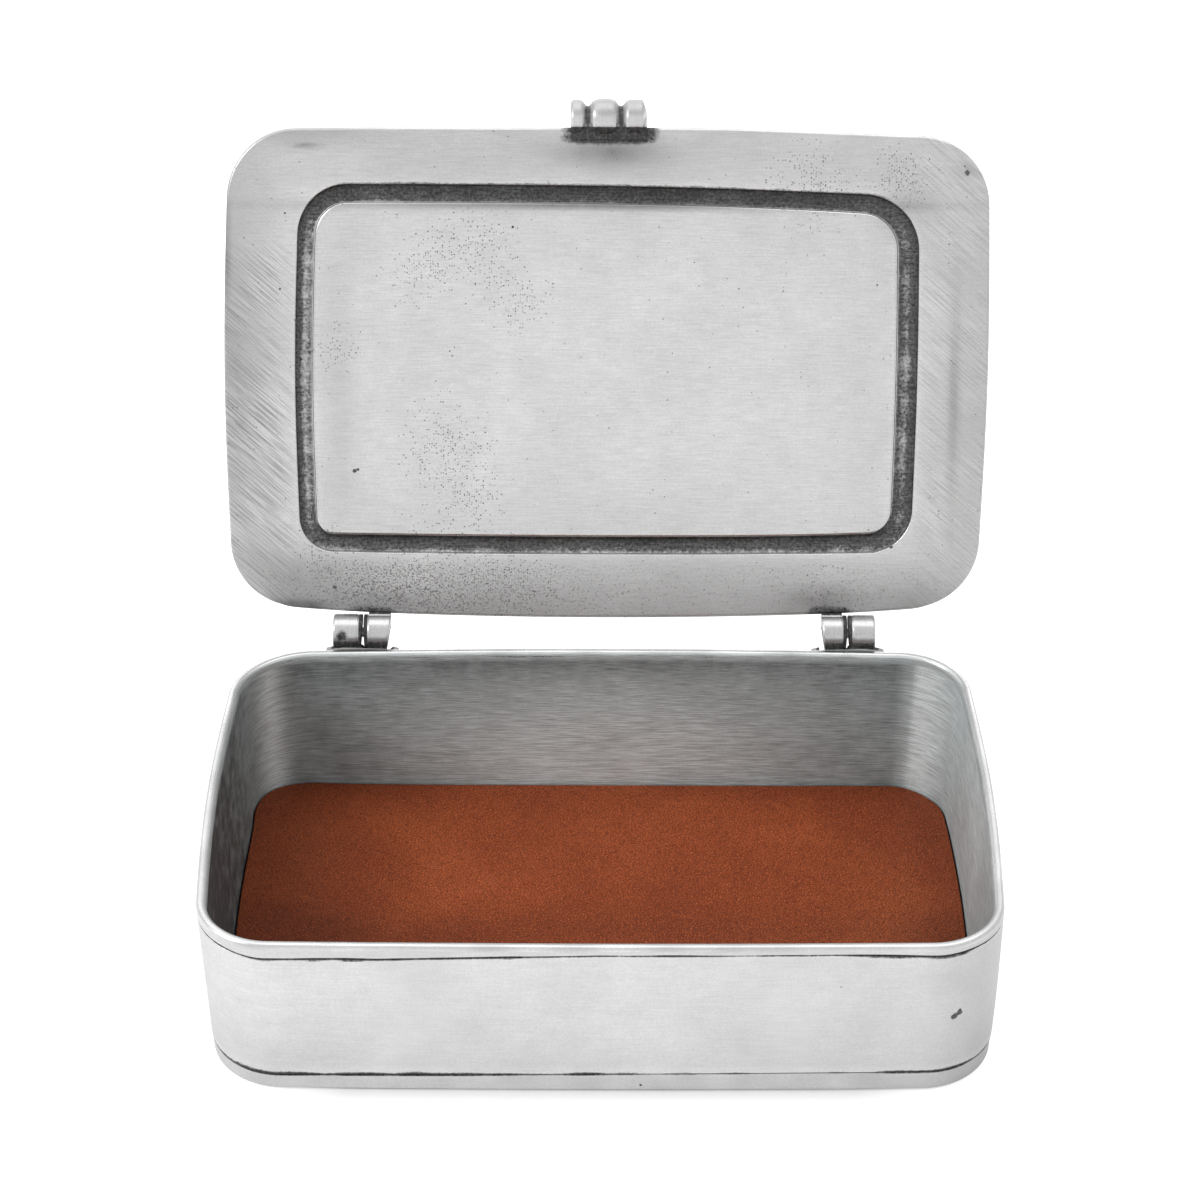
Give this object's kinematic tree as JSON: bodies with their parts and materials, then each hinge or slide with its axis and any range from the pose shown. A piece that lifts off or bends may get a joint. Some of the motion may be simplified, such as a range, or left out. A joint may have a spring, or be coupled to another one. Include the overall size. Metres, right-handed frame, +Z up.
{
  "type": "pewter box",
  "caption": "Oblong pewter keepsake box with round corners, a leather-lined floor and a hinged lid with a recessed frame and a beaded thumb piece, standing open.",
  "frame": {"origin": "middle of the flat underside of the base", "axes": "+X along the width to the viewer's right, +Y from the front to the hinged rear, +Z up"},
  "size_m": [0.1633, 0.1528, 0.1444],
  "materials": {
    "pewter": "hand-finished pewter, brushed, with dark patina in the lines",
    "pewter_polished": "polished cast pewter",
    "steel_pin": "plain steel wire",
    "card": "grey-brown card",
    "leather": "rust-brown leather with a fine grain"
  },
  "bodies": {
    "box": {"base_tray": "pewter", "wall_frame": "pewter", "liner_board": "card", "leather_liner": "leather", "hinge_seat_left": "pewter_polished", "hinge_seat_right": "pewter_polished", "hinge_pin_left": "steel_pin", "hinge_pin_right": "steel_pin"},
    "lid": {"lid_plate": "pewter", "lid_knuckle_left": "pewter_polished", "lid_knuckle_right": "pewter_polished", "thumb_piece": "pewter_polished"}
  },
  "joints": [
    {"name": "lid_hinge", "type": "hinge", "parent": "box", "child": "lid", "pos_m": [0, 0.0558, 0.0374], "axis": [1, 0, 0], "range_deg": [0, 111.6]}
  ]
}
